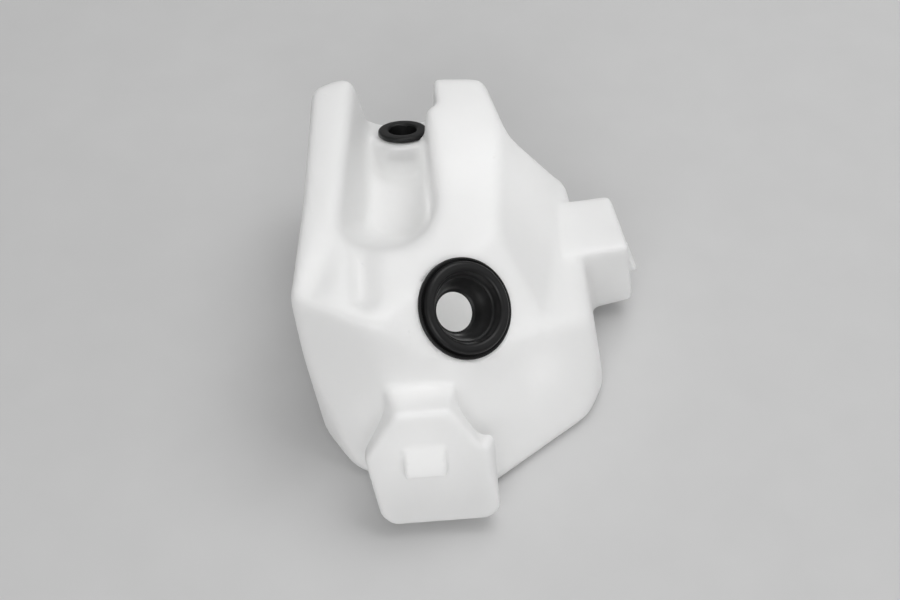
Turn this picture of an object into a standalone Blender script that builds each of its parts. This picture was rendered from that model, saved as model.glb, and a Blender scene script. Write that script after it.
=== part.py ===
"""Washer fluid reservoir: a blow-moulded tank on its back, with a filler grommet and a pump grommet.

Metres, +Z up. The origin is on the floor under the belly of the tank. The two arms run away from it
along +Y, with the pump pocket between them. One mounting tongue points to -Y and the other to +X.
"""
import bpy
import bmesh
from math import cos, pi, radians, sin, tan
from mathutils import Matrix, Vector

# Wall and moulding
WALL = 0.0027              # wall of the blown tank
SKIN_GRAIN = 0.0022        # edge of the grid that the blended outer skin is drawn on
CAVITY_GRAIN = 0.0030      # the same for the inside, which is plainer
BODY_ROUNDING = 0.0055     # how far the rounding of the belly and the arms spreads from an edge
FITTING_ROUNDING = 0.0042  # the same for the tongues, the boss and the rib
SKIN_SHARE = 0.11          # share of the outer skin's faces that are kept
CAVITY_SHARE = 0.10        # share of the inner skin's faces that are kept
PLAY = 0.0003              # clearance between a grommet and the tank

# Belly
TOP_HEIGHT = 0.0905        # height of the top face over the front edge of the belly
TOP_RISE = radians(3.0)    # how much the top face climbs towards the arms
TOP_TILT = radians(2.2)    # how much the top face falls to the right
BELLY_LEFT = 0.0745        # from the origin to the left side, at the front corner
BELLY_RIGHT = 0.0810       # from the origin to the right side, at the floor
BELLY_FRONT = 0.0640       # from the origin to the blunt nose behind the front tongue, at the floor
SIDE_TAPER = radians(5.4)  # how much the left side and the arms lean to the right as they run back
SIDE_DRAFT = radians(11.0) # how much the right side leans in as it rises
SIDE_SPREAD = radians(5.0) # how much the right side turns away on each side of the right tongue
LEFT_DRAFT = radians(9.0)  # how much the left side leans out as it rises
FRONT_LEAN = radians(23.5) # how much the nose and the front right face lean back as they rise
FRONT_LEFT_LEAN = radians(15.3)    # the same for the front left face
FRONT_LEFT_TURN = radians(-27.0)   # the front left face, turned about the vertical from facing -Y
FRONT_LEFT_X = -0.0430     # a point of the front left face at the floor, measured to the right
FRONT_LEFT_Y = -0.0520     # and back
FRONT_RIGHT_TURN = radians(33.0)   # the front right face, turned the other way
FRONT_RIGHT_X = 0.0670     # a point of the front right face at the floor, measured to the right
FRONT_RIGHT_Y = -0.0270    # and back
FLANK_SLOPE = radians(51.0)        # slope of the flank that falls from the right arm
FLANK_TURN = radians(81.0)         # the way the flank faces, turned about the vertical from -Y
FLANK_FOOT = 0.0480                # where the flank meets the terrace, measured to the right at the front
CORNER_X = 0.0710          # front right corner of the belly near the floor, measured to the right
CORNER_Y = -0.0220         # and back
CORNER_TURN = radians(62.0)        # the way its face looks, turned about the vertical from -Y
TERRACE_HEIGHT = 0.0560            # top of the terrace where the flank meets it
TERRACE_FALL = radians(16.0)       # how much the terrace falls to the right
TERRACE_CORNER = 0.0725    # rear right corner of the terrace, measured to the right
TERRACE_REAR = 0.0930              # rear right corner of the terrace, measured back from the origin
REAR_TURN = radians(18.0)          # how much the rear of the belly is turned from straight across

# Arms and the pump pocket between them
ARM_END = 0.1365           # from the origin back to the ends of the arms
ARM_CORNER_X = 0.0455      # where the chamfer of the right arm starts, measured to the right
ARM_CORNER_Y = 0.0980      # and back
ARM_CORNER_TURN = radians(59.0)    # the way the chamfer of the right arm faces, turned from +Y towards +X
POCKET_FLOOR = 0.0500      # height of the pocket floor over the floor
POCKET_WIDTH = 0.0330      # width of the pocket at its floor
POCKET_DRAFT = radians(15.0)       # slope of the left wall of the pocket
POCKET_NEAR = 0.0620       # where the pocket floor begins, measured back from the origin
POCKET_RIM = 0.0185        # where the pocket opens in the top face, measured back from the origin
POCKET_X = -0.0240         # middle of the pocket at its near end, measured to the right
POCKET_CUT = 0.0600        # height of the pocket's cutter, enough to pass the top face
GROOVE_WIDTH = 0.0110      # width of the groove that runs forwards from the pocket
GROOVE_DEPTH = 0.0065      # its depth below the top face
GROOVE_X = -0.0375         # its middle, measured to the right
GROOVE_NEAR = -0.0120      # its near end, measured back from the origin
SIDE_GROOVE_WIDTH = 0.0080 # width of the shallow groove beside it, along the left arm
SIDE_GROOVE_DEPTH = 0.0040 # its depth
SIDE_GROOVE_X = -0.0640    # its near end, measured to the right
SIDE_GROOVE_Y = -0.0040    # and back
SIDE_GROOVE_RUN = 0.0140   # how far it drifts to the right on its way back
GROOVE_FAR = 0.0280        # far end of both grooves, measured back from the origin

# Pump boss and grommet
BOSS_RADIUS = 0.0172       # radius of the half-round boss in the pocket
BOSS_HEIGHT = 0.0672       # height of its seat over the floor
BOSS_ROOT = 0.0250         # how far the boss reaches below the pocket floor
PUMP_X = -0.0150           # middle of the seat, measured to the right
PUMP_Y = 0.1206            # and back
PUMP_LEAN = radians(21.0)  # how much the seat leans back from level
PUMP_SEAT = 0.0094         # radius of the hole in the wall
PUMP_FLANGE = 0.0131       # radius of the grommet's flange
PUMP_MOUTH = 0.0076        # radius of its mouth
PUMP_FLANGE_DEPTH = 0.0032 # thickness of the flange
PUMP_STEP = 0.0008         # how much narrower the bore is than the mouth
PUMP_STEP_DEPTH = 0.0040   # how far below the seat it narrows
PUMP_BARB = 0.0112         # radius of the lip inside the tank
PUMP_LENGTH = 0.0110       # length of the grommet below the flange
RIB_CLEARANCE = 0.0016     # between the rim of the grommet and the rib beside it, before rounding
RIB_ROUND = 0.0055         # radius of the rib's round top
RIB_ROOT = 0.0090          # how far the rib reaches into the arm behind its round top
RIB_LENGTH = 0.0200        # from the end of the arm forward to the front of the rib
RIB_TOP = 0.0840           # height of its round top over the floor

# Filler pad and grommet
PAD_X = 0.0060             # middle of the filler, measured to the right
PAD_Y = -0.0105            # and back
PAD_HEIGHT = 0.0755        # height of the pad there
PAD_TURN = radians(39.0)   # the way the pad faces, turned about the vertical from -Y
PAD_SLOPE = radians(39.5)  # slope of the pad
FILLER_SEAT = 0.0205       # radius of the hole in the wall
FILLER_FLANGE = 0.0250     # radius of the grommet's flange
FILLER_COLLAR = 0.0225     # radius of the raised collar on the flange
FILLER_LIP = 0.0180        # radius where the collar turns into the mouth
FILLER_MOUTH = 0.0150      # radius of the mouth
FILLER_BORE = 0.0097       # radius of the bore at the inner end
FILLER_BORE_LENGTH = 0.0016        # length of the straight bore below the cone
FILLER_GROOVE = 0.0006     # depth of the groove between the collar and the outer lip
FILLER_FLANGE_DEPTH = 0.0022       # thickness of the flange at its rim
FILLER_COLLAR_HEIGHT = 0.0048      # height of the collar over the pad
FILLER_BARB = 0.0226       # radius of the lip inside the tank
FILLER_LENGTH = 0.0120     # length of the grommet below the flange

# Both grommets
EDGE = 0.0012              # chamfer of their edges
LIP_HEIGHT = 0.0006        # height of the barb over and under its widest point

# Front tongue
FRONT_X = -0.0180          # middle of the tongue's neck, measured to the right
FRONT_REACH = 0.0855       # from the origin forward to the lower edge of its plate
FRONT_CLEAR = 0.0090       # lower edge over the floor
FRONT_WIDTH = 0.0625       # widest part of its plate
FRONT_SHIFT = 0.0042       # how far the plate sits to the right of its neck
FRONT_TALL = 0.0605        # from the lower edge to the top of the neck, along the plate
FRONT_SHOULDER = 0.0430    # from the lower edge to the shoulders
FRONT_NECK = 0.0310        # width of the neck where it leaves the belly
FRONT_TOP = 0.0215         # width of the flat top over the shoulders
PLATE_CORNER = 0.0080      # chamfer of the plate's lower corners
PLATE_DRAFT = 0.0030       # how much narrower the plate is below on each side
PLATE_BACK = 0.0110        # from the face of the plate back to where it starts to flare
FLARE_BACK = 0.0200        # from the face of the plate back to where the neck starts
NECK_ROOT = 0.0450         # from the face of the plate back into the belly
NECK_SHARE = 0.6           # height of the neck as a share of the plate's

# Right tongue
SIDE_Y = 0.0608            # middle of the tongue, measured back
SIDE_CLEAR = 0.0090        # lower edge over the floor
SIDE_WIDTH = 0.0386        # width of the tongue
SIDE_TALL = 0.0430         # height of the tongue
SIDE_REACH = 0.0200        # from the side of the belly out to its face
SIDE_ROOT = 0.0200         # from the side of the belly back into it
SIDE_TURN = radians(6.0)   # how much the tongue is turned back from facing +X

# Snap wedges on both tongues
WEDGE_WIDTH = 0.0180       # width of a snap wedge
WEDGE_LENGTH = 0.0185      # length of its ramp
WEDGE_HEIGHT = 0.0058      # how far its catch stands out
WEDGE_EDGE = 0.0235        # from the lower edge of the plate up to the catch of the front wedge
SIDE_WEDGE_EDGE = 0.0130   # the same on the right tongue
WEDGE_ROUND = 0.0009       # rounding of its edges

# Seats of the grommets in the wall
SEAT_REACH = 0.0060        # how far the holes' cutters reach above and below the outer skin
SEAT_MARGIN = 0.0006       # flat face round a flange
RELIEF_MARGIN = 0.0012     # room round a barb inside the tank
RELIEF_REACH = 0.0100      # depth of that room below the outer skin

BEYOND = 0.0500            # how far open cutters run past the ends of the arms
ROOM = 0.30                # large enough to reach past the whole tank


def clear_scene():
    for item in list(bpy.data.objects):
        bpy.data.objects.remove(item, do_unlink=True)


def new_object(name, mesh_tool, hidden=True):
    mesh = bpy.data.meshes.new(name)
    bmesh.ops.recalc_face_normals(mesh_tool, faces=mesh_tool.faces)
    mesh_tool.to_mesh(mesh)
    mesh_tool.free()
    item = bpy.data.objects.new(name, mesh)
    bpy.context.scene.collection.objects.link(item)
    if hidden:
        item.hide_render = True
        item.display_type = 'WIRE'
    return item


def facing(turn, slope):
    """Outward direction of a face, turned from -Y towards +X about the vertical, at a slope from level."""
    level = Vector((sin(turn), -cos(turn), 0.0))
    return level * sin(slope) + Vector((0.0, 0.0, cos(slope)))


def hull(points):
    """The convex solid round a set of points."""
    solid = bmesh.new()
    bmesh.ops.convex_hull(solid, input=[solid.verts.new(point) for point in points])
    loose = [corner for corner in solid.verts if not corner.link_faces]
    bmesh.ops.delete(solid, geom=loose, context='VERTS')
    return solid


def convex(planes):
    """The solid behind a list of planes, each a point and its outward direction."""
    solid = hull([Vector((x, y, z)) * ROOM for x in (-1, 1) for y in (-1, 1) for z in (-1, 1)])
    for point, outward in planes:
        parts = solid.verts[:] + solid.edges[:] + solid.faces[:]
        bmesh.ops.bisect_plane(solid, geom=parts, plane_co=point, plane_no=outward, clear_outer=True)
        bmesh.ops.remove_doubles(solid, verts=solid.verts, dist=0.00001)
        corners = [corner.co.copy() for corner in solid.verts]
        solid.free()
        solid = hull(corners)
    bmesh.ops.dissolve_limit(solid, angle_limit=radians(0.5), verts=solid.verts, edges=solid.edges)
    return solid


def overlapping(name, solids):
    """One object of several solids that reach into each other, which a redraw then melts together."""
    together = bmesh.new()
    for solid in solids:
        bmesh.ops.recalc_face_normals(solid, faces=solid.faces)
        copied = bpy.data.meshes.new(name)
        solid.to_mesh(copied)
        solid.free()
        together.from_mesh(copied)
        bpy.data.meshes.remove(copied)
    return new_object(name, together)


def behind(planes, depth):
    """The same planes, each moved inwards by a depth."""
    return [(point - outward.normalized() * depth, outward) for point, outward in planes]


def loft(name, rings):
    """A solid through rings of equally many points, closed at both ends."""
    solid = bmesh.new()
    loops = [[solid.verts.new(point) for point in ring] for ring in rings]
    count = len(loops[0])
    for lower, upper in zip(loops, loops[1:]):
        for index in range(count):
            after = (index + 1) % count
            solid.faces.new((lower[index], lower[after], upper[after], upper[index]))
    solid.faces.new(list(reversed(loops[0])))
    solid.faces.new(loops[-1])
    return new_object(name, solid)


def combine(item, other, operation):
    step = item.modifiers.new(other.name, 'BOOLEAN')
    step.operation = operation
    step.object = other
    step.solver = 'EXACT'


def redraw(item, grain):
    """Redraws the surface on an even grid."""
    grid = item.modifiers.new("redraw", 'REMESH')
    grid.mode = 'VOXEL'
    grid.voxel_size = grain


def blend(item, grain, spread):
    """Redraws the surface and rounds its edges. The spread of the rounding grows as the passes' root."""
    redraw(item, grain)
    rounding = item.modifiers.new("rounding", 'SMOOTH')
    rounding.factor = 0.5
    rounding.iterations = round((2.0 * spread / grain) ** 2)


def side_line(back):
    """How far the taper moves things to the right at a distance back from the front corner."""
    return back * tan(SIDE_TAPER)


def top_plane():
    outward = Vector((sin(TOP_TILT), -sin(TOP_RISE), 1.0)).normalized()
    return (Vector((-BELLY_LEFT, 0.0, TOP_HEIGHT)), outward)


def left_plane():
    outward = Vector((-cos(SIDE_TAPER), sin(SIDE_TAPER), -sin(LEFT_DRAFT)))
    return (Vector((-BELLY_LEFT, 0.0, TOP_HEIGHT)), outward)


def flank_plane():
    outward = facing(FLANK_TURN, FLANK_SLOPE)
    return (Vector((FLANK_FOOT, 0.0, TERRACE_HEIGHT)), outward)


def front_right_plane():
    outward = facing(FRONT_RIGHT_TURN, pi / 2 - FRONT_LEAN)
    return (Vector((FRONT_RIGHT_X, FRONT_RIGHT_Y, 0.0)), outward)


def front_left_plane():
    outward = facing(FRONT_LEFT_TURN, pi / 2 - FRONT_LEFT_LEAN)
    return (Vector((FRONT_LEFT_X, FRONT_LEFT_Y, 0.0)), outward)


def nose_plane():
    return (Vector((0.0, -BELLY_FRONT, 0.0)), facing(0.0, pi / 2 - FRONT_LEAN))


def rear_plane():
    outward = Vector((sin(REAR_TURN), cos(REAR_TURN), 0.0))
    return (Vector((TERRACE_CORNER, TERRACE_REAR, 0.0)), outward)


def right_planes():
    """The right side, which turns away a little before and behind the front edge of the right tongue."""
    ridge = Vector((BELLY_RIGHT, SIDE_Y - SIDE_WIDTH / 2, SIDE_CLEAR))
    return [(ridge, facing(pi / 2 + turn, pi / 2 - SIDE_DRAFT)) for turn in (-SIDE_SPREAD, SIDE_SPREAD)]


def right_corner_plane():
    return (Vector((CORNER_X, CORNER_Y, 0.0)), facing(CORNER_TURN, pi / 2 - SIDE_DRAFT))


def floor_plane():
    return (Vector((0.0, 0.0, 0.0)), Vector((0.0, 0.0, -1.0)))


def pad_plane():
    return (Vector((PAD_X, PAD_Y, PAD_HEIGHT)), facing(PAD_TURN, PAD_SLOPE))


def front_planes():
    return [front_left_plane(), front_right_plane(), nose_plane(), pad_plane()]


def belly(depth):
    planes = [top_plane(), left_plane(), flank_plane(), right_corner_plane(), floor_plane(), rear_plane()]
    return convex(behind(planes + front_planes() + right_planes(), depth))


def terrace(depth):
    fall = (Vector((FLANK_FOOT, 0.0, TERRACE_HEIGHT)), facing(pi / 2, TERRACE_FALL))
    middle = (Vector((0.0, 0.0, 0.0)), Vector((-1.0, 0.0, 0.0)))
    planes = [fall, right_corner_plane(), floor_plane(), rear_plane(), middle, front_right_plane()]
    return convex(behind(planes + right_planes(), depth))


def arms(depth):
    end = (Vector((0.0, ARM_END, 0.0)), Vector((0.0, 1.0, 0.0)))
    corner_way = Vector((sin(ARM_CORNER_TURN), cos(ARM_CORNER_TURN), 0.0))
    corner = (Vector((ARM_CORNER_X, ARM_CORNER_Y, 0.0)), corner_way)
    planes = [top_plane(), left_plane(), flank_plane(), right_corner_plane(), floor_plane(), end, corner]
    return convex(behind(planes + front_planes() + right_planes(), depth))


def slot(middle, near, half_width, height, left_lean):
    """Outline of the pocket at a height: round at the near end and open past the ends of the arms."""
    ring = []
    far = ARM_END + BEYOND
    steps = 12
    centre_y = near + half_width
    near_x = middle + side_line(centre_y - POCKET_RIM)
    far_x = middle + side_line(far - POCKET_RIM)
    for step in range(steps + 1):
        angle = pi + pi * step / steps
        across = cos(angle) * half_width
        if across < 0.0:
            across -= left_lean
        ring.append(Vector((near_x + across, centre_y + sin(angle) * half_width, height)))
    ring.append(Vector((far_x + half_width, far, height)))
    ring.append(Vector((far_x - half_width - left_lean, far, height)))
    return ring


def pocket(name, depth):
    half = POCKET_WIDTH / 2 + depth
    low = POCKET_FLOOR - depth
    high = low + POCKET_CUT
    slope_run = (POCKET_NEAR - POCKET_RIM) * POCKET_CUT / (TOP_HEIGHT - POCKET_FLOOR)
    lower = slot(POCKET_X, POCKET_NEAR - depth, half, low, 0.0)
    upper = slot(POCKET_X, POCKET_NEAR - slope_run - depth, half, high, POCKET_CUT * tan(POCKET_DRAFT))
    return loft(name, [lower, upper])


def pump_way():
    return Vector((0.0, sin(PUMP_LEAN), cos(PUMP_LEAN)))


def boss(name, depth):
    """The half-round boss, cut off level with its leaning seat."""
    radius = BOSS_RADIUS - depth
    steps = 16
    outline = [Vector((PUMP_X + side, ARM_END - depth, 0.0)) for side in (radius, -radius)]
    for step in range(steps + 1):
        angle = pi + pi * step / steps
        outline.append(Vector((PUMP_X + cos(angle) * radius, PUMP_Y + sin(angle) * radius, 0.0)))
    seat = Vector((PUMP_X, PUMP_Y, BOSS_HEIGHT)) - pump_way() * depth
    lower = [Vector((point.x, point.y, POCKET_FLOOR - BOSS_ROOT)) for point in outline]
    upper = [Vector((point.x, point.y, seat.z - (point.y - seat.y) * tan(PUMP_LEAN))) for point in outline]
    return loft(name, [lower, upper])


def rib(name, depth):
    """The round-topped rib on the inner wall of the right arm, beside the pump seat."""
    inner = PUMP_X + PUMP_FLANGE + RIB_CLEARANCE + depth
    outer = inner + RIB_ROUND + RIB_ROOT
    near = ARM_END - RIB_LENGTH + depth
    far = ARM_END - depth
    steps = 6
    profile = [(outer, POCKET_FLOOR), (inner, POCKET_FLOOR)]
    for step in range(steps + 1):
        angle = pi - pi / 2 * step / steps
        across = inner + RIB_ROUND + cos(angle) * RIB_ROUND
        profile.append((across, RIB_TOP - depth - RIB_ROUND + sin(angle) * RIB_ROUND))
    profile.append((outer, RIB_TOP - depth))
    rings = [[Vector((across, back, height)) for across, height in profile] for back in (near, far)]
    return loft(name, rings)


def plate_outline(depth):
    """Front tongue's outline across and along its plate, shoulders and flat top included."""
    half = FRONT_WIDTH / 2 - depth
    lower_half = half - PLATE_DRAFT
    right_side = [
        (lower_half - PLATE_CORNER, depth), (lower_half, PLATE_CORNER + depth),
        (half, FRONT_SHOULDER / 2), (half, FRONT_SHOULDER - depth),
    ]
    right = [(across + FRONT_SHIFT, along) for across, along in right_side]
    left = [(FRONT_SHIFT - across, along) for across, along in reversed(right_side)]
    top = FRONT_TALL - depth
    return right + [(FRONT_TOP / 2, top), (-FRONT_TOP / 2, top)] + left


def tongue_frame_front():
    upright = Vector((0.0, sin(FRONT_LEAN), cos(FRONT_LEAN)))
    outward = Vector((0.0, -cos(FRONT_LEAN), sin(FRONT_LEAN)))
    origin = Vector((FRONT_X, -FRONT_REACH, FRONT_CLEAR))
    return origin, Vector((1.0, 0.0, 0.0)), upright, outward


def tongue_frame_side():
    across = Vector((sin(-SIDE_TURN), cos(SIDE_TURN), 0.0))
    level = Vector((cos(SIDE_TURN), sin(SIDE_TURN), 0.0))
    upright = Vector((0.0, 0.0, cos(SIDE_DRAFT))) - level * sin(SIDE_DRAFT)
    outward = level * cos(SIDE_DRAFT) + Vector((0.0, 0.0, sin(SIDE_DRAFT)))
    origin = Vector((BELLY_RIGHT + SIDE_REACH, SIDE_Y, SIDE_CLEAR))
    return origin, across, upright, outward


def place(frame, across, along, out):
    origin, right, upright, outward = frame
    return origin + right * across + upright * along + outward * out


def front_tongue(name, depth):
    """A neck out of the nose that flares to the plate."""
    frame = tongue_frame_front()
    plate = plate_outline(depth)
    top = FRONT_TALL - depth
    half_neck = FRONT_NECK / 2 - depth
    neck = []
    for across, along in plate:
        side = half_neck if across > 0.0 else -half_neck
        neck.append((side, top - (top - along) * NECK_SHARE))
    rings = []
    for out, outline in ((-NECK_ROOT, neck), (-FLARE_BACK, neck), (-PLATE_BACK, plate), (-depth, plate)):
        rings.append([place(frame, across, along, out) for across, along in outline])
    return loft(name, rings)


def side_tongue(name, depth):
    frame = tongue_frame_side()
    half = SIDE_WIDTH / 2 - depth
    outline = [(-half, depth), (half, depth), (half, SIDE_TALL - depth), (-half, SIDE_TALL - depth)]
    rings = []
    for out in (-SIDE_REACH - SIDE_ROOT, -depth):
        rings.append([place(frame, across, along, out) for across, along in outline])
    return loft(name, rings)


def wedge(name, frame, edge):
    """A snap wedge: a ramp that rises to a square catch at its lower edge."""
    half = WEDGE_WIDTH / 2
    root = -WALL / 2
    far = edge + WEDGE_LENGTH
    profile = [(edge, root), (edge, WEDGE_HEIGHT), (far, 0.0), (far, root)]
    rings = [[place(frame, across, along, out) for along, out in profile] for across in (-half, half)]
    item = loft(name, rings)
    rounding = item.modifiers.new("rounding", 'BEVEL')
    rounding.width = WEDGE_ROUND
    rounding.segments = 2
    return item


def on_top(x, y):
    point, outward = top_plane()
    return Vector((x, y, point.z - ((x - point.x) * outward.x + (y - point.y) * outward.y) / outward.z))


def groove(name, start, end, radius, sink):
    """A round-ended groove cutter between two points of the top face."""
    way = (end - start).normalized()
    cross = Vector((way.y, -way.x, 0.0))
    steps = 8
    outline = []
    for centre, sense in ((end, 1.0), (start, -1.0)):
        for step in range(steps + 1):
            angle = pi * step / steps
            outline.append(centre + (cross * cos(angle) + way * sin(angle)) * radius * sense)
    lower = [point - Vector((0.0, 0.0, sink)) for point in outline]
    upper = [point + Vector((0.0, 0.0, BEYOND)) for point in outline]
    return loft(name, [lower, upper])


def grooves(prefix, depth):
    middle = groove(
        prefix + "groove", on_top(GROOVE_X, GROOVE_FAR), on_top(GROOVE_X, GROOVE_NEAR),
        GROOVE_WIDTH / 2 + depth, GROOVE_DEPTH + depth,
    )
    beside = groove(
        prefix + "side_groove", on_top(SIDE_GROOVE_X + SIDE_GROOVE_RUN, GROOVE_FAR),
        on_top(SIDE_GROOVE_X, SIDE_GROOVE_Y), SIDE_GROOVE_WIDTH / 2 + depth, SIDE_GROOVE_DEPTH + depth,
    )
    return [middle, beside]


def tank_form(prefix, depth, grain, share):
    """The blended form of the tank at a depth below its outer skin."""
    form = overlapping(prefix + "form", [belly(depth), terrace(depth), arms(depth)])
    redraw(form, grain)
    combine(form, pocket(prefix + "pocket", depth), 'DIFFERENCE')
    for cutter in grooves(prefix, depth):
        combine(form, cutter, 'DIFFERENCE')
    blend(form, grain, BODY_ROUNDING)
    combine(form, boss(prefix + "boss", depth), 'UNION')
    combine(form, rib(prefix + "rib", depth), 'UNION')
    combine(form, front_tongue(prefix + "front_tongue", depth), 'UNION')
    combine(form, side_tongue(prefix + "side_tongue", depth), 'UNION')
    blend(form, grain, FITTING_ROUNDING)
    fewer = form.modifiers.new("fewer", 'DECIMATE')
    fewer.ratio = share
    return form


def turned(name, profile, segments, placing, hidden=False):
    """A closed profile of (radius, height) points, spun round its axis."""
    mesh_tool = bmesh.new()
    rings = []
    for step in range(segments):
        angle = 2 * pi * step / segments
        ring = [(cos(angle) * radius, sin(angle) * radius, height) for radius, height in profile]
        rings.append([mesh_tool.verts.new(point) for point in ring])
    count = len(profile)
    for step in range(segments):
        here = rings[step]
        there = rings[(step + 1) % segments]
        for index in range(count):
            after = (index + 1) % count
            mesh_tool.faces.new((here[index], there[index], there[after], here[after]))
    item = new_object(name, mesh_tool, hidden)
    item.matrix_world = placing
    item.data.shade_smooth()
    item.data.set_sharp_from_angle(angle=radians(40))
    return item


def rod(name, radius, low, high, placing):
    steps = 64
    angles = [2 * pi * step / steps for step in range(steps)]
    outline = [(cos(angle) * radius, sin(angle) * radius) for angle in angles]
    item = loft(name, [[Vector((x, y, height)) for x, y in outline] for height in (low, high)])
    item.matrix_world = placing
    return item


def standing(point, way):
    """Placing whose Z axis runs along a direction."""
    return Matrix.Translation(point) @ way.to_track_quat('Z', 'Y').to_matrix().to_4x4()


def filler_placing():
    point, outward = pad_plane()
    return standing(point, outward)


def pump_placing():
    return standing(Vector((PUMP_X, PUMP_Y, BOSS_HEIGHT)), pump_way())


def sleeve_profile(seat, rim, barb, bore, length):
    """The hidden half of a grommet's section: round the wall, over the barb and up to the bore."""
    under = -WALL - PLAY
    return [
        (rim, PLAY), (seat - PLAY, PLAY), (seat - PLAY, under), (barb, under - LIP_HEIGHT),
        (barb, under - 3.0 * LIP_HEIGHT), (bore + WALL, -length), (bore, -length),
    ]


def filler_profile():
    """Section of the filler grommet: lip, raised collar, groove, thin outer lip, hidden half and cone."""
    top = FILLER_COLLAR_HEIGHT
    rim = FILLER_FLANGE_DEPTH
    groove_floor = rim - FILLER_GROOVE
    outside = [
        (FILLER_MOUTH, rim), (FILLER_LIP, top - EDGE / 2), (FILLER_LIP + EDGE, top),
        (FILLER_COLLAR - EDGE, top), (FILLER_COLLAR, top - EDGE), (FILLER_COLLAR, groove_floor),
        (FILLER_FLANGE - EDGE - FILLER_GROOVE, groove_floor), (FILLER_FLANGE - EDGE, rim),
        (FILLER_FLANGE, rim - EDGE / 2),
    ]
    hidden = sleeve_profile(FILLER_SEAT, FILLER_FLANGE, FILLER_BARB, FILLER_BORE, FILLER_LENGTH)
    cone = [(FILLER_BORE, FILLER_BORE_LENGTH - FILLER_LENGTH), (FILLER_MOUTH - EDGE, -EDGE)]
    return outside + hidden + cone


def pump_profile():
    """Section of the pump grommet: a flat flange with round edges over a narrower bore."""
    top = PUMP_FLANGE_DEPTH
    bore = PUMP_MOUTH - PUMP_STEP
    outside = [
        (PUMP_MOUTH, top - EDGE), (PUMP_MOUTH + EDGE, top), (PUMP_FLANGE - EDGE, top),
        (PUMP_FLANGE, top - EDGE),
    ]
    hidden = sleeve_profile(PUMP_SEAT, PUMP_FLANGE, PUMP_BARB, bore, PUMP_LENGTH)
    step = [(bore, -PUMP_STEP_DEPTH - PUMP_STEP), (PUMP_MOUTH, -PUMP_STEP_DEPTH)]
    return outside + hidden + step


def paint(item, name, colour, roughness):
    material = bpy.data.materials.new(name)
    material.use_nodes = True
    shader = material.node_tree.nodes["Principled BSDF"]
    shader.inputs["Base Color"].default_value = (*colour, 1.0)
    shader.inputs["Roughness"].default_value = roughness
    shader.inputs["Metallic"].default_value = 0.0
    item.data.materials.clear()
    item.data.materials.append(material)


def seat_cutters(name, hole, flange, barb, placing):
    """The hole through the wall, a flat face round it for the flange, and room inside for the barb."""
    return [
        rod(name + "_hole", hole, -SEAT_REACH, SEAT_REACH, placing),
        rod(name + "_face", flange + SEAT_MARGIN, 0.0, SEAT_REACH, placing),
        rod(name + "_relief", barb + RELIEF_MARGIN, -RELIEF_REACH, -WALL, placing),
    ]


def make_tank():
    tank = tank_form("skin_", 0.0, SKIN_GRAIN, SKIN_SHARE)
    tank.name = "reservoir_tank"
    tank.hide_render = False
    tank.display_type = 'TEXTURED'
    combine(tank, tank_form("cavity_", WALL, CAVITY_GRAIN, CAVITY_SHARE), 'DIFFERENCE')
    combine(tank, wedge("front_wedge", tongue_frame_front(), WEDGE_EDGE), 'UNION')
    combine(tank, wedge("side_wedge", tongue_frame_side(), SIDE_WEDGE_EDGE), 'UNION')
    seats = seat_cutters("filler", FILLER_SEAT, FILLER_FLANGE, FILLER_BARB, filler_placing())
    seats += seat_cutters("pump", PUMP_SEAT, PUMP_FLANGE, PUMP_BARB, pump_placing())
    for cutter in seats:
        combine(tank, cutter, 'DIFFERENCE')
    paint(tank, "natural_polyethylene", (0.80, 0.80, 0.79), 0.38)
    return tank


def make_grommets():
    for name, profile, placing in (
        ("filler_grommet", filler_profile(), filler_placing()),
        ("pump_grommet", pump_profile(), pump_placing()),
    ):
        grommet = turned(name, profile, 40, placing)
        paint(grommet, name + "_rubber", (0.018, 0.018, 0.019), 0.55)


clear_scene()
make_tank()
make_grommets()
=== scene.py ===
"""Looks of the washer fluid reservoir: the blown tank with its soft edges and two moulded rubber grommets.

Metres, +Z up. The tank is drawn as a field, the distance to its skin on a regular grid: flat faces are cut
together, the sharp result is blurred as blow moulding softens it, and the level where the field is zero
becomes the mesh.
"""

from math import cos, pi, radians, sin, sqrt, tan

import bmesh
import bpy
import numpy as np
import openvdb
from mathutils import Matrix, Vector


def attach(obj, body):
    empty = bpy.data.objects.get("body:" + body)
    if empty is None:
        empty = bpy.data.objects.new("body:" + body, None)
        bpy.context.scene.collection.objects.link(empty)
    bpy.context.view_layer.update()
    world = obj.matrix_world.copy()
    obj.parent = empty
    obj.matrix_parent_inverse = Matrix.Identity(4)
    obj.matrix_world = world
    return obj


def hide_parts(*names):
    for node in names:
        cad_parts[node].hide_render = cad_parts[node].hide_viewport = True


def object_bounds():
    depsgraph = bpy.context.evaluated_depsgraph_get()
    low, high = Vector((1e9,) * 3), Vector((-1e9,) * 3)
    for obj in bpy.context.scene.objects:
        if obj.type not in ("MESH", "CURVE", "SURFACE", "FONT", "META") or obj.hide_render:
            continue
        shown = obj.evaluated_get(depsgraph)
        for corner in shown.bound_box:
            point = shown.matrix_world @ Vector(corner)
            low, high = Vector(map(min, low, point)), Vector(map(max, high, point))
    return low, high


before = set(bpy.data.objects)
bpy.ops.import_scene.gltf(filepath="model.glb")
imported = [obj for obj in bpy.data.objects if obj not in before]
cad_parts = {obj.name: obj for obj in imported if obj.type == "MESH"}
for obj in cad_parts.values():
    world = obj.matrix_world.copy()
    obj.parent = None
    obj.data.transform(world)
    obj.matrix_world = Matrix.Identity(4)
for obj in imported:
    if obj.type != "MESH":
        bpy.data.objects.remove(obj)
CAD_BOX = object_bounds()
UPRIGHT = pi / 2

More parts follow.
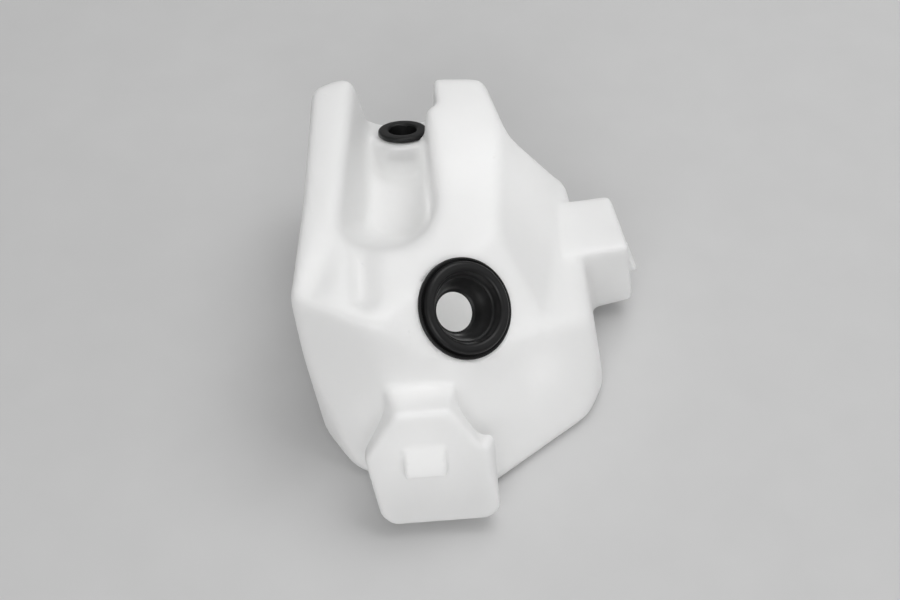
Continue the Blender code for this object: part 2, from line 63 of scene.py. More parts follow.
# Grid of the field and the mesh made from it
GRAIN = 0.0010             # edge of a cell
MARGIN = 0.0060            # room round the tank
BAND = 4                   # cells on each side of the skin that keep their distance
FLATNESS = 0.02            # how far cells may be merged where the skin is flat
FOLD = radians(100.0)      # two faces that meet at more than this are folded over
FOLD_ROUNDS = 6            # how often the folds are evened out
FOLD_SHARE = 0.5           # how far a folded corner moves in one round
BLUR_REACH = 3.0           # softnesses that the blur takes in on each side

# Wall and softness of the moulding
WALL = 0.0027
BODY_SOFTNESS = 0.0032     # blur of the belly, the arms and the pocket
FITTING_SOFTNESS = 0.0017  # blur of the boss, the wider rear of the pocket and the tongues
DETAIL_SOFTNESS = 0.0006   # blur of the snap wedges

# Belly
TOP_HEIGHT = 0.0905
TOP_RISE = radians(3.0)    # towards the rear
TOP_TILT = radians(2.2)    # down towards the right
BELLY_LEFT = 0.0765
BELLY_RIGHT = 0.0804
BELLY_FRONT = 0.0640
BELLY_TAPER = radians(7.5)
LEFT_DRAFT = radians(9.0)
SIDE_DRAFT = radians(11.0)
SIDE_SPREAD = radians(2.0)
SIDE_TAPER = radians(5.4)
FRONT_LEAN = radians(23.5)
FRONT_LEFT_AT = (-0.0441, -0.0542)
FRONT_LEFT_LEAN = radians(17.0)
FRONT_LEFT_TURN = radians(-27.0)
FRONT_RIGHT_AT = (0.0689, -0.0309)
FRONT_RIGHT_LEAN = radians(27.5)
FRONT_RIGHT_TURN = radians(34.3)
CORNER_AT = (0.0730, -0.0230)
CORNER_TURN = radians(62.0)
LEFT_CORNER_AT = (-0.0572, -0.0389)
LEFT_CORNER_DRAFT = radians(3.0)
LEFT_CORNER_TURN = radians(-60.0)

# Flank and terrace on the right
FLANK_FOOT = 0.0480
FLANK_SLOPE = radians(51.0)
FLANK_TURN = radians(81.0)
TERRACE_HEIGHT = 0.0560
TERRACE_FALL = radians(16.0)
TERRACE_REAR_AT = (0.0670, 0.0994)
REAR_TURN = radians(1.0)

# Arms
ARM_LEFT = 0.0745
ARM_END = 0.1368
ARM_TURN = radians(2.0)
ARM_CORNER_AT = (0.0350, 0.1130)
ARM_CORNER_TURN = radians(78.0)
LEFT_END_AT = (-0.0520, 0.1363)
LEFT_END_TURN = radians(-25.0)

# Pocket between the arms
POCKET_FLOOR = 0.0500
POCKET_X = -0.0240
POCKET_WIDTH = 0.0295
POCKET_RIM = 0.0185        # near end at the top face
POCKET_NEAR = 0.0620       # near end at the floor
POCKET_END = ARM_END + 0.0500
POCKET_DRAFT = radians(13.5)
POCKET_SPREAD = 0.0040     # the left wall stands back by this at the near end
POCKET_OPENING = 0.0054    # the right wall draws back by this between the two places below
POCKET_OPENS = (0.0280, 0.0500)
STEP_AT = (-0.0039, 0.1153)
STEP_ROUND = 0.0057
STEP_REAR = 0.0026         # right side of the wider rear

# Grooves that run forwards from the pocket
GROOVE_RADIUS = 0.0065
GROOVE_DEPTH = 0.0052
GROOVE_FROM = (-0.0415, 0.0280)
GROOVE_TO = (-0.0415, -0.0110)
SIDE_GROOVE_RADIUS = 0.0085
SIDE_GROOVE_DEPTH = 0.0028
SIDE_GROOVE_FROM = (-0.0515, 0.0280)
SIDE_GROOVE_TO = (-0.0645, -0.0040)

# Pump boss
BOSS_RADIUS = 0.0152
BOSS_DRAFT = radians(14.0)
BOSS_HEIGHT = 0.0669
BOSS_ROOT = 0.0250         # how far the boss reaches under the pocket's floor
BOSS_FILLET = 0.0080
PUMP_BACK = 0.0162         # from the arms' end to the middle of the seat
PUMP_AT = (-0.0150, ARM_END - PUMP_BACK, BOSS_HEIGHT)
PUMP_LEAN = radians(21.0)

# Filler pad
PAD_AT = (0.0060, -0.0105, 0.0755)
PAD_TURN = radians(39.0)
PAD_SLOPE = radians(39.5)

# Front tongue
FRONT_X = -0.0180
FRONT_REACH = 0.0863
FRONT_CLEAR = 0.0072
FRONT_WIDTH = 0.0637
FRONT_SHIFT = 0.0036       # middle of the plate, right of the middle of the neck
FRONT_TALL = 0.0625
FRONT_SHOULDER = 0.0410
FRONT_NECK = 0.0330
FRONT_TOP = 0.0260
SHOULDER_DROP = 0.0030
SHOULDER_STEP = 0.0080
PLATE_CORNER = 0.0055
PLATE_DRAFT = 0.0060
PLATE_BACK = 0.0110
FLARE_BACK = 0.0200
NECK_ROOT = 0.0450
NECK_SHARE = 0.6           # height of the neck over that of the plate
FLANGE_SLANT = 0.0055
FLANGE_TOP = 0.0435
FLANGE_SET = 0.0012

# Right tongue
SIDE_Y = 0.0618
SIDE_CLEAR = 0.0090
SIDE_WIDTH = 0.0396
SIDE_TALL = 0.0440
SIDE_REACH = 0.0206
SIDE_ROOT = 0.0200
SIDE_TURN = radians(6.0)
TONGUE_DRAFT = radians(8.5)

# Snap wedges
WEDGE_WIDTH = 0.0200
WEDGE_LENGTH = 0.0155
WEDGE_HEIGHT = 0.0058
WEDGE_EDGE = 0.0295
SIDE_WEDGE_EDGE = 0.0120

# Seats of the grommets
FILLER_SEAT = 0.0205
FILLER_FLANGE = 0.0250
FILLER_BARB = 0.0226
PUMP_SEAT = 0.0094
PUMP_FLANGE = 0.0131
PUMP_BARB = 0.0112
SEAT_MARGIN = 0.0006
SEAT_REACH = 0.0060
RELIEF_REACH = 0.0100
RELIEF_MARGIN = 0.0012

# Grommets
MILLIMETRES = 1000.0       # in a metre
FILLER_STEPS = 160         # faces round the axis
PUMP_STEPS = 120
SHARP_EDGE = radians(50.0)

# Camera
CAMERA_AT = (-0.0387, -0.4418, 0.5986)
CAMERA_AIM = (0.0, 0.0, 0.070)
FOCAL_PIXELS = 1427.0
FRAME_PIXELS = 900.0
SENSOR_WIDTH = 36.0        # in millimetres, as a lens is given

# Stage
STAGE_SIZE = 16.0
STAGE_DROP = 0.0001

# Light
LIGHT_AIM = (0.0, 0.02, 0.04)
STUDIO_LIGHTS = (          # name, place, width, depth and power
    ("overhead", (0.0, 0.0, 1.70), 2.2, 2.2, 4.7),
    ("back_key", (0.45, 0.55, 1.45), 1.3, 1.1, 11.0),
    ("front_fill", (-0.30, -1.50, 1.00), 1.4, 0.9, 13.0),
    ("right_fill", (1.40, -0.20, 0.90), 1.0, 0.8, 2.0),
)
GLOW_SIZE = 0.010
GLOWS = (                  # name, place and power
    ("glow_front", (-0.018, -0.040, 0.030), 0.013),
    ("glow_front_right", (0.035, -0.010, 0.030), 0.006),
    ("glow_left_near", (-0.048, 0.035, 0.040), 0.0035),
    ("glow_left_middle", (-0.046, 0.070, 0.040), 0.0035),
    ("glow_left_far", (-0.044, 0.105, 0.040), 0.0035),
    ("glow_right_arm", (0.018, 0.075, 0.050), 0.022),
)
WORLD_STRENGTH = 0.20


def facing(turn, slope):
    """Outward direction of a face, turned from -Y towards +X about the vertical, at a slope from level."""
    return Vector((sin(turn) * sin(slope), -cos(turn) * sin(slope), cos(slope)))


def left_way(taper):
    """Outward direction of the left side, which tapers towards the rear and overhangs its foot."""
    return (-cos(taper), sin(taper), -sin(LEFT_DRAFT))


def pad_way():
    """Direction in which the filler grommet looks."""
    return facing(PAD_TURN, PAD_SLOPE)


def pump_way():
    """Direction in which the pump grommet looks."""
    return Vector((0.0, sin(PUMP_LEAN), cos(PUMP_LEAN)))


class Grid:
    """The places where the field is known."""

    def __init__(self):
        self.low = CAD_BOX[0] - Vector((MARGIN, MARGIN, MARGIN))
        high = CAD_BOX[1] + Vector((MARGIN, MARGIN, MARGIN))
        counts = [int((b - a) / GRAIN) + 1 for a, b in zip(self.low, high)]
        steps = [np.arange(count, dtype=np.float32) * GRAIN for count in counts]
        self.x = (steps[0] + self.low.x).astype(np.float32)[:, None, None]
        self.y = (steps[1] + self.low.y).astype(np.float32)[None, :, None]
        self.z = (steps[2] + self.low.z).astype(np.float32)[None, None, :]

    def along(self, origin, way):
        """Distance along a direction from a point."""
        way = Vector(way).normalized()
        return self.x * way.x + self.y * way.y + self.z * way.z - Vector(origin).dot(way)

    def wall(self, place, turn, lean):
        """Distance outside a side face that leans back, through a place at floor level."""
        return self.along((*place, 0.0), facing(turn, UPRIGHT - lean))

    def end(self, place, turn):
        """Distance behind an upright face, turned from +Y towards +X, through a place at floor level."""
        return self.along((*place, 0.0), (sin(turn), cos(turn), 0.0))

    def rod(self, origin, way, radius, low, high):
        """A cylinder round an axis, between two distances along it."""
        depth = self.along(origin, way)
        away = [self.x - origin[0], self.y - origin[1], self.z - origin[2]]
        square = away[0] ** 2 + away[1] ** 2 + away[2] ** 2 - depth ** 2
        return meet(np.sqrt(np.maximum(square, 0.0)) - radius, depth - high, low - depth)

    def tube(self, start, end, radius):
        """A round bar between two points, with round ends."""
        way = Vector(end) - Vector(start)
        share = np.clip(self.along(start, way) / way.length, 0.0, 1.0)
        away = [axis - start[i] - share * way[i] for i, axis in enumerate((self.x, self.y, self.z))]
        return np.sqrt(away[0] ** 2 + away[1] ** 2 + away[2] ** 2) - radius

    def blur(self, field, softness):
        """The field averaged over a bell-shaped patch, which rounds edges and leaves flat faces alone."""
        reach = int(BLUR_REACH * softness / GRAIN) + 1
        steps = np.arange(-reach, reach + 1)
        weights = np.exp(-0.5 * (steps * GRAIN / softness) ** 2)
        weights /= weights.sum()
        for axis in range(3):
            room = [(reach, reach) if axis == i else (0, 0) for i in range(3)]
            padded = np.pad(field, room, mode="edge")
            blurred = np.zeros_like(field)
            for step, weight in enumerate(weights):
                window = [slice(None)] * 3
                window[axis] = slice(step, step + field.shape[axis])
                blurred += np.float32(weight) * padded[tuple(window)]
            field = blurred
        return field


def meet(*fields):
    """What lies inside all the fields."""
    result = fields[0]
    for field in fields[1:]:
        result = np.maximum(result, field)
    return result


def join(*fields):
    """What lies inside any of the fields."""
    result = fields[0]
    for field in fields[1:]:
        result = np.minimum(result, field)
    return result


def melt(first, second, fillet):
    """What lies inside either field, with a fillet where they meet."""
    share = np.clip(0.5 + 0.5 * (second - first) / fillet, 0.0, 1.0)
    return second + (first - second) * share - fillet * share * (1.0 - share)


def cut(field, *others):
    """The first field less the others."""
    return meet(field, *[-other for other in others])


def top_height(x, y):
    """Height of the top face over a place."""
    return TOP_HEIGHT - (x + BELLY_LEFT) * sin(TOP_TILT) + y * sin(TOP_RISE)


def shared_faces(grid):
    """Faces that bound the belly, the terrace and the arms alike."""
    ridge = (BELLY_RIGHT, SIDE_Y - SIDE_WIDTH / 2, SIDE_CLEAR)
    corner = grid.wall(CORNER_AT, CORNER_TURN, SIDE_DRAFT)
    front_part = grid.along(ridge, facing(UPRIGHT - SIDE_SPREAD, UPRIGHT - SIDE_DRAFT))
    rear_part = grid.along(ridge, facing(UPRIGHT + SIDE_SPREAD, UPRIGHT - SIDE_DRAFT))
    front_right = grid.wall(FRONT_RIGHT_AT, FRONT_RIGHT_TURN, FRONT_RIGHT_LEAN)
    return meet(corner, front_part, rear_part, front_right, -grid.z)


def body_field(grid):
    """The belly, the terrace and the arms, with sharp edges."""
    top = grid.along((-BELLY_LEFT, 0.0, TOP_HEIGHT), (sin(TOP_TILT), -sin(TOP_RISE), 1.0))
    nose = grid.wall((0.0, -BELLY_FRONT), 0.0, FRONT_LEAN)
    front_left = grid.wall(FRONT_LEFT_AT, FRONT_LEFT_TURN, FRONT_LEFT_LEAN)
    left_corner = grid.wall(LEFT_CORNER_AT, LEFT_CORNER_TURN, -LEFT_CORNER_DRAFT)
    flank = grid.along((FLANK_FOOT, 0.0, TERRACE_HEIGHT), facing(FLANK_TURN, FLANK_SLOPE))
    pad = grid.along(PAD_AT, pad_way())
    main = meet(top, nose, front_left, left_corner, flank, pad)

    rear = grid.end(TERRACE_REAR_AT, REAR_TURN)
    belly_left = grid.along((-BELLY_LEFT, 0.0, TOP_HEIGHT), left_way(BELLY_TAPER))
    belly = meet(main, belly_left, rear)

    fall = grid.along((FLANK_FOOT, 0.0, TERRACE_HEIGHT), facing(UPRIGHT, TERRACE_FALL))
    terrace = meet(fall, -grid.x, rear)

    arm_left = grid.along((-ARM_LEFT, 0.0, TOP_HEIGHT), left_way(SIDE_TAPER))
    arm_end = grid.end((0.0, ARM_END), ARM_TURN)
    left_end = grid.end(LEFT_END_AT, LEFT_END_TURN)
    chamfer = grid.end(ARM_CORNER_AT, ARM_CORNER_TURN)
    arms = meet(main, arm_left, arm_end, left_end, chamfer)
    return meet(join(belly, terrace, arms), shared_faces(grid))


def pocket_field(grid):
    """The pump pocket: round in plan at its near end, which slopes, with a drafted left wall."""
    depth = grid.z - POCKET_FLOOR
    run = (POCKET_NEAR - POCKET_RIM) / (TOP_HEIGHT - POCKET_FLOOR)
    half = POCKET_WIDTH / 2
    back = grid.y - (POCKET_NEAR + half - depth * run)
    spread = POCKET_SPREAD * np.clip(1.0 - back / (POCKET_END - POCKET_NEAR), 0.0, 1.0)
    drift = (grid.y - POCKET_RIM) * tan(SIDE_TAPER)
    left = np.minimum(grid.x - POCKET_X - drift + depth * tan(POCKET_DRAFT) + spread, 0.0)
    opens, open_wide = POCKET_OPENS
    opening = POCKET_OPENING * np.clip((grid.y - opens) / (open_wide - opens), 0.0, 1.0)
    right = np.maximum(grid.x - POCKET_X - opening, 0.0)
    walls = np.sqrt((left + right) ** 2 + np.minimum(back, 0.0) ** 2) - half
    return meet(walls, -depth)


def step_field(grid):
    """The wider rear of the pocket, behind a rounded corner of the right arm, with room for the grommet."""
    corner_x = STEP_AT[0] + STEP_ROUND - grid.x
    corner_y = grid.y - STEP_AT[1] + STEP_ROUND
    arm = np.sqrt(np.maximum(corner_x, 0.0) ** 2 + np.maximum(corner_y, 0.0) ** 2) - STEP_ROUND
    sides = meet(grid.x - STEP_REAR, PUMP_AT[0] - grid.x)
    return meet(sides, -arm, STEP_AT[1] - STEP_ROUND - grid.y, POCKET_FLOOR - grid.z)


def grooves_field(grid):
    """The two grooves, each a round bar laid into the top face."""
    fields = []
    for start, end, radius, depth in (
        (GROOVE_FROM, GROOVE_TO, GROOVE_RADIUS, GROOVE_DEPTH),
        (SIDE_GROOVE_FROM, SIDE_GROOVE_TO, SIDE_GROOVE_RADIUS, SIDE_GROOVE_DEPTH),
    ):
        ends = [(x, y, top_height(x, y) - depth + radius) for x, y in (start, end)]
        fields.append(grid.tube(ends[0], ends[1], radius))
    return join(*fields)


def boss_field(grid):
    """The half-round boss under the pump grommet."""
    x, y, height = PUMP_AT
    radius = BOSS_RADIUS + (height - grid.z) * tan(BOSS_DRAFT)
    plan = (np.sqrt((grid.x - x) ** 2 + np.minimum(grid.y - y, 0.0) ** 2) - radius) * cos(BOSS_DRAFT)
    seat = grid.along(PUMP_AT, pump_way())
    return meet(plan, seat, grid.y - ARM_END, POCKET_FLOOR - BOSS_ROOT - grid.z)


def front_place():
    """Origin, right, up and outward directions of the front plate."""
    upright = Vector((0.0, sin(FRONT_LEAN), cos(FRONT_LEAN)))
    outward = Vector((0.0, -cos(FRONT_LEAN), sin(FRONT_LEAN)))
    return Vector((FRONT_X, -FRONT_REACH, FRONT_CLEAR)), Vector((1.0, 0.0, 0.0)), upright, outward


def side_place():
    """The same of the right tongue's face."""
    level = Vector((cos(SIDE_TURN), sin(SIDE_TURN), 0.0))
    across = Vector((-sin(SIDE_TURN), cos(SIDE_TURN), 0.0))
    upright = Vector((0.0, 0.0, cos(TONGUE_DRAFT))) - level * sin(TONGUE_DRAFT)
    outward = level * cos(TONGUE_DRAFT) + Vector((0.0, 0.0, sin(TONGUE_DRAFT)))
    return Vector((BELLY_RIGHT + SIDE_REACH, SIDE_Y, SIDE_CLEAR)), across, upright, outward


def coordinates(grid, place):
    """Distances to the right, upwards and outwards from a tongue's origin."""
    origin, right, upright, outward = place
    return [grid.along(origin, way) for way in (right, upright, outward)]


def polygon(across, along, outline):
    """Distance outside a convex outline whose points run anticlockwise; a point may move with the place."""
    edges = []
    for first, second in zip(outline, outline[1:] + outline[:1]):
        run = second[0] - first[0]
        rise = second[1] - first[1]
        outside = (across - first[0]) * rise - (along - first[1]) * run
        edges.append(outside / np.sqrt(run ** 2 + rise ** 2))
    return meet(*edges)


def between(first, second, share):
    """Points part of the way from one outline to another."""
    return [(a[0] + (b[0] - a[0]) * share, a[1] + (b[1] - a[1]) * share) for a, b in zip(first, second)]


def front_tongue_field(grid):
    """A neck out of the nose, a plate with sloping shoulders, and a flange behind its right edge."""
    across, along, out = coordinates(grid, front_place())
    right = FRONT_SHIFT + FRONT_WIDTH / 2
    left = FRONT_SHIFT - FRONT_WIDTH / 2
    plate = [
        (right - PLATE_CORNER, 0.0), (right, PLATE_CORNER), (right - SHOULDER_STEP, FRONT_SHOULDER),
        (FRONT_TOP / 2, FRONT_TALL), (-FRONT_TOP / 2, FRONT_TALL), (left, FRONT_SHOULDER - SHOULDER_DROP),
        (left + PLATE_DRAFT, PLATE_CORNER), (left + PLATE_DRAFT + PLATE_CORNER, 0.0),
    ]
    half = FRONT_NECK / 2
    neck = [(half if a > 0.0 else -half, FRONT_TALL - (FRONT_TALL - b) * NECK_SHARE) for a, b in plate]
    flare = np.clip((out + FLARE_BACK) / (FLARE_BACK - PLATE_BACK), 0.0, 1.0)
    tongue = meet(polygon(across, along, between(neck, plate, flare)), out, -NECK_ROOT - out)
    back = [
        (0.0, FLANGE_SET), (right - PLATE_CORNER, FLANGE_SET), (right, FLANGE_SET + PLATE_CORNER),
        (right, FLANGE_TOP), (0.0, FLANGE_TOP),
    ]
    front = back[:3] + [(a - min(a, FLANGE_SLANT), b - FLANGE_SLANT / 2) for a, b in back[3:]]
    slant = np.clip((out + PLATE_BACK) / (PLATE_BACK - FLANGE_SET), 0.0, 1.0)
    flange_edge = polygon(across, along, between(back, front, slant))
    flange = meet(flange_edge, out + FLANGE_SET, -PLATE_BACK - out)
    return join(tongue, flange)


def side_tongue_field(grid):
    """The right tongue, drafted with its face, with a level top."""
    place = side_place()
    across, along, out = coordinates(grid, place)
    top = place[0].z + SIDE_TALL * cos(TONGUE_DRAFT)
    sides = np.abs(across) - SIDE_WIDTH / 2
    return meet(sides, -along, grid.z - top, out, -out - SIDE_REACH - SIDE_ROOT)


def wedge_field(grid, place, edge):
    """A snap wedge: a ramp that rises to a square catch at its lower edge."""
    across, along, out = coordinates(grid, place)
    ramp = (out - WEDGE_HEIGHT) * WEDGE_LENGTH + (along - edge) * WEDGE_HEIGHT
    ramp = ramp / sqrt(WEDGE_LENGTH ** 2 + WEDGE_HEIGHT ** 2)
    return meet(np.abs(across) - WEDGE_WIDTH / 2, edge - along, ramp, -WALL / 2 - out)


def seat_fields(grid, origin, way, hole, flange, barb):
    """Room for the flange above the seat, and the hole with room for the barb under the wall."""
    face = grid.rod(origin, way, flange + SEAT_MARGIN, 0.0, SEAT_REACH)
    bore = grid.rod(origin, way, hole, -SEAT_REACH, SEAT_REACH)
    relief = grid.rod(origin, way, barb + RELIEF_MARGIN, -RELIEF_REACH, -WALL)
    return face, join(bore, relief)


def tank_field(grid):
    """The shell of the tank, from the main forms to the details, with ever less blur."""
    body = cut(body_field(grid), pocket_field(grid), grooves_field(grid))
    body = grid.blur(body, BODY_SOFTNESS)
    body = melt(cut(body, step_field(grid)), boss_field(grid), BOSS_FILLET)
    body = join(body, front_tongue_field(grid), side_tongue_field(grid))
    body = grid.blur(body, FITTING_SOFTNESS)
    front_wedge = wedge_field(grid, front_place(), WEDGE_EDGE)
    side_wedge = wedge_field(grid, side_place(), SIDE_WEDGE_EDGE)
    body = grid.blur(join(body, front_wedge, side_wedge), DETAIL_SOFTNESS)
    filler_face, filler_hole = seat_fields(grid, PAD_AT, pad_way(), FILLER_SEAT, FILLER_FLANGE, FILLER_BARB)
    pump_face, pump_hole = seat_fields(grid, PUMP_AT, pump_way(), PUMP_SEAT, PUMP_FLANGE, PUMP_BARB)
    skin = cut(body, filler_face, pump_face)
    shell = meet(skin, -(body + WALL))
    return cut(shell, filler_hole, pump_hole)


def linked(name, content):
    """A new object in the scene."""
    item = bpy.data.objects.new(name, content)
    bpy.context.scene.collection.objects.link(item)
    return item


def even_out(tool):
    """Draws the corners of the few folded faces towards their neighbours."""
    for _ in range(FOLD_ROUNDS):
        tool.normal_update()
        folds = [edge for edge in tool.edges if len(edge.link_faces) == 2 and edge.calc_face_angle() > FOLD]
        corners = list(dict.fromkeys(corner for edge in folds for corner in edge.verts))
        bmesh.ops.smooth_vert(
            tool, verts=corners, factor=FOLD_SHARE, use_axis_x=True, use_axis_y=True, use_axis_z=True
        )


def skinned(name, grid, field):
    """An object whose surface lies where the field is zero."""
    volume = openvdb.FloatGrid(float(BAND))
    volume.copyFromArray(np.clip(field / np.float32(GRAIN), -BAND, BAND).astype(np.float32))
    points, triangles, quads = volume.convertToPolygons(isovalue=0.0, adaptivity=FLATNESS)
    places = points * GRAIN + np.array(grid.low)
    mesh = bpy.data.meshes.new(name)
    mesh.from_pydata(places.tolist(), [], quads.tolist() + triangles.tolist())
    mesh.validate()
    tool = bmesh.new()
    tool.from_mesh(mesh)
    bmesh.ops.recalc_face_normals(tool, faces=tool.faces)
    even_out(tool)
    tool.to_mesh(mesh)
    tool.free()
    mesh.shade_smooth()
    return linked(name, mesh)


def arc(centre, radius, start, end, steps):
    """Points of an arc in a section, from one angle in degrees to another."""
    points = []
    for step in range(steps + 1):
        angle = radians(start + (end - start) * step / steps)
        points.append((centre[0] + cos(angle) * radius, centre[1] + sin(angle) * radius))
    return points


def turned(name, profile, steps, placing):
    """A closed section of (radius, height) points in millimetres, spun round its axis."""
    tool = bmesh.new()
    rings = []
    for step in range(steps):
        angle = 2 * pi * step / steps
        ring = []
        for wide, high in profile:
            radius = wide / MILLIMETRES
            ring.append(tool.verts.new((cos(angle) * radius, sin(angle) * radius, high / MILLIMETRES)))
        rings.append(ring)
    count = len(profile)
    for here, there in zip(rings, rings[1:] + rings[:1]):
        for index in range(count):
            after = (index + 1) % count
            tool.faces.new((here[index], there[index], there[after], here[after]))
    bmesh.ops.recalc_face_normals(tool, faces=tool.faces)
    mesh = bpy.data.meshes.new(name)
    tool.to_mesh(mesh)
    tool.free()
    mesh.transform(placing)
    mesh.shade_smooth()
    mesh.set_sharp_from_angle(angle=SHARP_EDGE)
    return linked(name, mesh)


def standing(point, way):
    """Places a turned piece on a point with its axis along a direction."""
    return Matrix.Translation(Vector(point)) @ way.to_track_quat('Z', 'Y').to_matrix().to_4x4()


def filler_section():
    """Lip, groove, collar, ledge, cone, bore, barb and neck of the filler grommet, in millimetres."""
    section = arc((24.05, 1.15), 0.65, 0, 90, 6)
    section += arc((23.8, 1.4), 0.4, 90, 180, 4)
    section += [(23.4, 0.8), (22.7, 0.7), (22.5, 0.9)]
    section += arc((20.4, 2.7), 2.1, 0, 90, 10)
    section += arc((19.2, 2.8), 2.0, 90, 165, 10)
    section += [(16.9, 1.6), (16.6, 0.5), (16.2, -0.2), (15.8, -0.5)]
    section += arc((15.7, -0.9), 0.4, 60, 180, 5)
    section += [(14.9, -1.7), (14.6, -2.0), (13.0, -5.6), (12.8, -5.7), (11.2, -9.6), (10.6, -10.2)]
    section += arc((10.3, -11.0), 0.6, 120, 250, 5)
    section += [(12.3, -12.0), (21.8, -5.0), (22.6, -4.4), (22.6, -3.6), (20.2, -3.0)]
    section += [(20.2, 0.3), (24.7, 0.3)]
    return section


def pump_section():
    """Flange, mouth, bore and barb of the pump grommet, in millimetres."""
    section = arc((12.1, 2.2), 1.0, 0, 90, 6)
    section += arc((8.7, 2.1), 1.1, 90, 180, 6)
    section += [(7.6, -4.0), (6.9, -5.0), (6.9, -10.6), (7.3, -11.0), (9.3, -11.0), (11.2, -4.8)]
    section += [(11.2, -3.6), (9.1, -3.0), (9.1, 0.3), (12.6, 0.3), (13.1, 0.8)]
    return section


def node(tree, kind, **values):
    """A shader node with values set on its sockets."""
    made = tree.nodes.new(kind)
    for name, value in values.items():
        made.inputs[name].default_value = value
    return made


def noise(tree, place, scale, detail):
    """Soft random patches."""
    made = node(tree, "ShaderNodeTexNoise", Scale=scale, Detail=detail)
    tree.links.new(place, made.inputs["Vector"])
    return made.outputs["Fac"]


def ranged(tree, value, low, high):
    """A value between 0 and 1 spread over a range."""
    made = node(tree, "ShaderNodeMapRange")
    made.inputs["To Min"].default_value = low
    made.inputs["To Max"].default_value = high
    tree.links.new(value, made.inputs["Value"])
    return made.outputs["Result"]


def bumped(tree, height, strength, distance, before=None):
    """A surface direction disturbed by a height, on top of an earlier one."""
    made = node(tree, "ShaderNodeBump", Strength=strength, Distance=distance)
    tree.links.new(height, made.inputs["Height"])
    if before is not None:
        tree.links.new(before, made.inputs["Normal"])
    return made.outputs["Normal"]


def shaded(name, dark, pale, scale, detail):
    """A material whose colour drifts between two shades, with its tree, its shader and the places on it."""
    material = bpy.data.materials.new(name)
    material.use_nodes = True
    tree = material.node_tree
    shader = tree.nodes["Principled BSDF"]
    place = tree.nodes.new("ShaderNodeTexCoord").outputs["Object"]
    colour = node(tree, "ShaderNodeMixRGB", Color1=(*dark, 1.0), Color2=(*pale, 1.0))
    tree.links.new(noise(tree, place, scale, detail), colour.inputs["Fac"])
    tree.links.new(colour.outputs["Color"], shader.inputs["Base Color"])
    return material, tree, shader, place


def polyethylene():
    """Natural blown polyethylene: milky, a little wavy, with a fine matt grain."""
    material, tree, shader, place = shaded(
        "natural_polyethylene", (0.850, 0.850, 0.845), (0.890, 0.890, 0.886), scale=22.0, detail=3.0
    )
    roughness = ranged(tree, noise(tree, place, scale=160.0, detail=4.0), low=0.36, high=0.50)
    tree.links.new(roughness, shader.inputs["Roughness"])
    shader.inputs["Subsurface Weight"].default_value = 0.95
    shader.inputs["Subsurface Radius"].default_value = (1.0, 1.0, 1.0)
    shader.inputs["Subsurface Scale"].default_value = 0.0070
    shader.inputs["IOR"].default_value = 1.5
    waves = noise(tree, place, scale=45.0, detail=1.0)
    wavy = bumped(tree, waves, strength=0.25, distance=0.0020)
    grain = noise(tree, place, scale=1400.0, detail=2.0)
    grained = bumped(tree, grain, strength=0.12, distance=0.0002, before=wavy)
    tree.links.new(grained, shader.inputs["Normal"])
    return material


def rubber(name):
    """Moulded black rubber with a fine grain and a trace of grey bloom."""
    material, tree, shader, place = shaded(
        name, (0.004, 0.004, 0.0042), (0.013, 0.013, 0.0135), scale=260.0, detail=5.0
    )
    roughness = ranged(tree, noise(tree, place, scale=420.0, detail=3.0), low=0.30, high=0.46)
    tree.links.new(roughness, shader.inputs["Roughness"])
    shader.inputs["Specular IOR Level"].default_value = 0.30
    grain = noise(tree, place, scale=2200.0, detail=3.0)
    tree.links.new(bumped(tree, grain, strength=0.22, distance=0.0002), shader.inputs["Normal"])
    return material


def paper():
    """The pale, matt floor."""
    material, _, shader, _ = shaded(
        "pale_floor", (0.61, 0.61, 0.61), (0.65, 0.65, 0.65), scale=30.0, detail=6.0
    )
    shader.inputs["Roughness"].default_value = 0.9
    shader.inputs["Specular IOR Level"].default_value = 0.2
    return material


def show(item, node_name, material):
    """A piece stands for a node of the frame: it takes the material it is given, hangs from the root and
    hides the node.
    """
    item.data.materials.append(material)
    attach(item, "root")
    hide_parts(node_name)


def make_tank():
    grid = Grid()
    tank = skinned("tank_skin", grid, tank_field(grid))
    show(tank, "reservoir_tank", polyethylene())


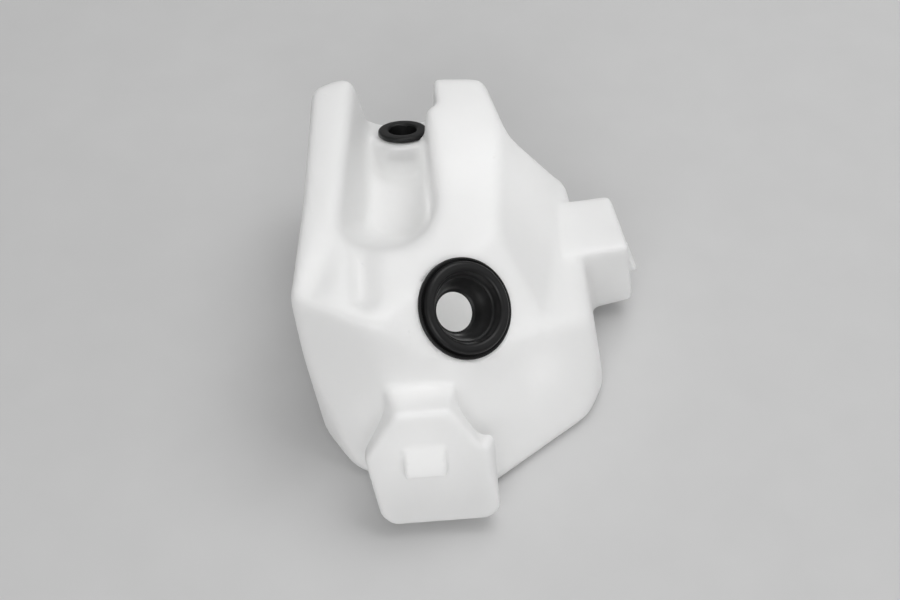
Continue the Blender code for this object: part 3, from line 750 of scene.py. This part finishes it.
def make_grommets():
    filler = turned("filler_seal", filler_section(), FILLER_STEPS, standing(PAD_AT, pad_way()))
    show(filler, "filler_grommet", rubber("filler_rubber"))
    pump = turned("pump_seal", pump_section(), PUMP_STEPS, standing(PUMP_AT, pump_way()))
    show(pump, "pump_grommet", rubber("pump_rubber"))


def make_floor():
    tool = bmesh.new()
    bmesh.ops.create_grid(tool, x_segments=1, y_segments=1, size=STAGE_SIZE / 2)
    mesh = bpy.data.meshes.new("floor")
    tool.to_mesh(mesh)
    tool.free()
    mesh.materials.append(paper())
    floor = linked("floor", mesh)
    floor.location.z = -STAGE_DROP


def aimed(item, place, aim):
    """Puts a lamp or the camera in its place and turns it towards a point."""
    item.location = place
    way = Vector(aim) - Vector(place)
    item.rotation_mode = 'QUATERNION'
    item.rotation_quaternion = way.to_track_quat('-Z', 'Y')


def make_light(name, place, width, depth, power):
    """A soft rectangular lamp."""
    lamp = bpy.data.lights.new(name, 'AREA')
    lamp.shape = 'RECTANGLE'
    lamp.size = width
    lamp.size_y = depth
    lamp.energy = power
    aimed(linked(name, lamp), place, LIGHT_AIM)


def make_glow(name, place, power):
    """A small lamp inside the tank, for the daylight that its milky wall lets in."""
    lamp = bpy.data.lights.new(name, 'POINT')
    lamp.shadow_soft_size = GLOW_SIZE
    lamp.energy = power
    linked(name, lamp).location = place


def make_lights():
    for light in STUDIO_LIGHTS:
        make_light(*light)
    for glow in GLOWS:
        make_glow(*glow)
    world = bpy.data.worlds.new("studio")
    world.use_nodes = True
    background = world.node_tree.nodes["Background"]
    background.inputs["Color"].default_value = (1.0, 1.0, 1.0, 1.0)
    background.inputs["Strength"].default_value = WORLD_STRENGTH
    bpy.context.scene.world = world


def make_camera():
    lens = bpy.data.cameras.new("camera")
    lens.sensor_width = SENSOR_WIDTH
    lens.lens = FOCAL_PIXELS / FRAME_PIXELS * SENSOR_WIDTH
    camera = linked("camera", lens)
    aimed(camera, CAMERA_AT, CAMERA_AIM)
    bpy.context.scene.camera = camera


def set_colours():
    view = bpy.context.scene.view_settings
    view.view_transform = 'Standard'
    view.look = 'None'


make_tank()
make_grommets()
make_floor()
make_lights()
make_camera()
set_colours()
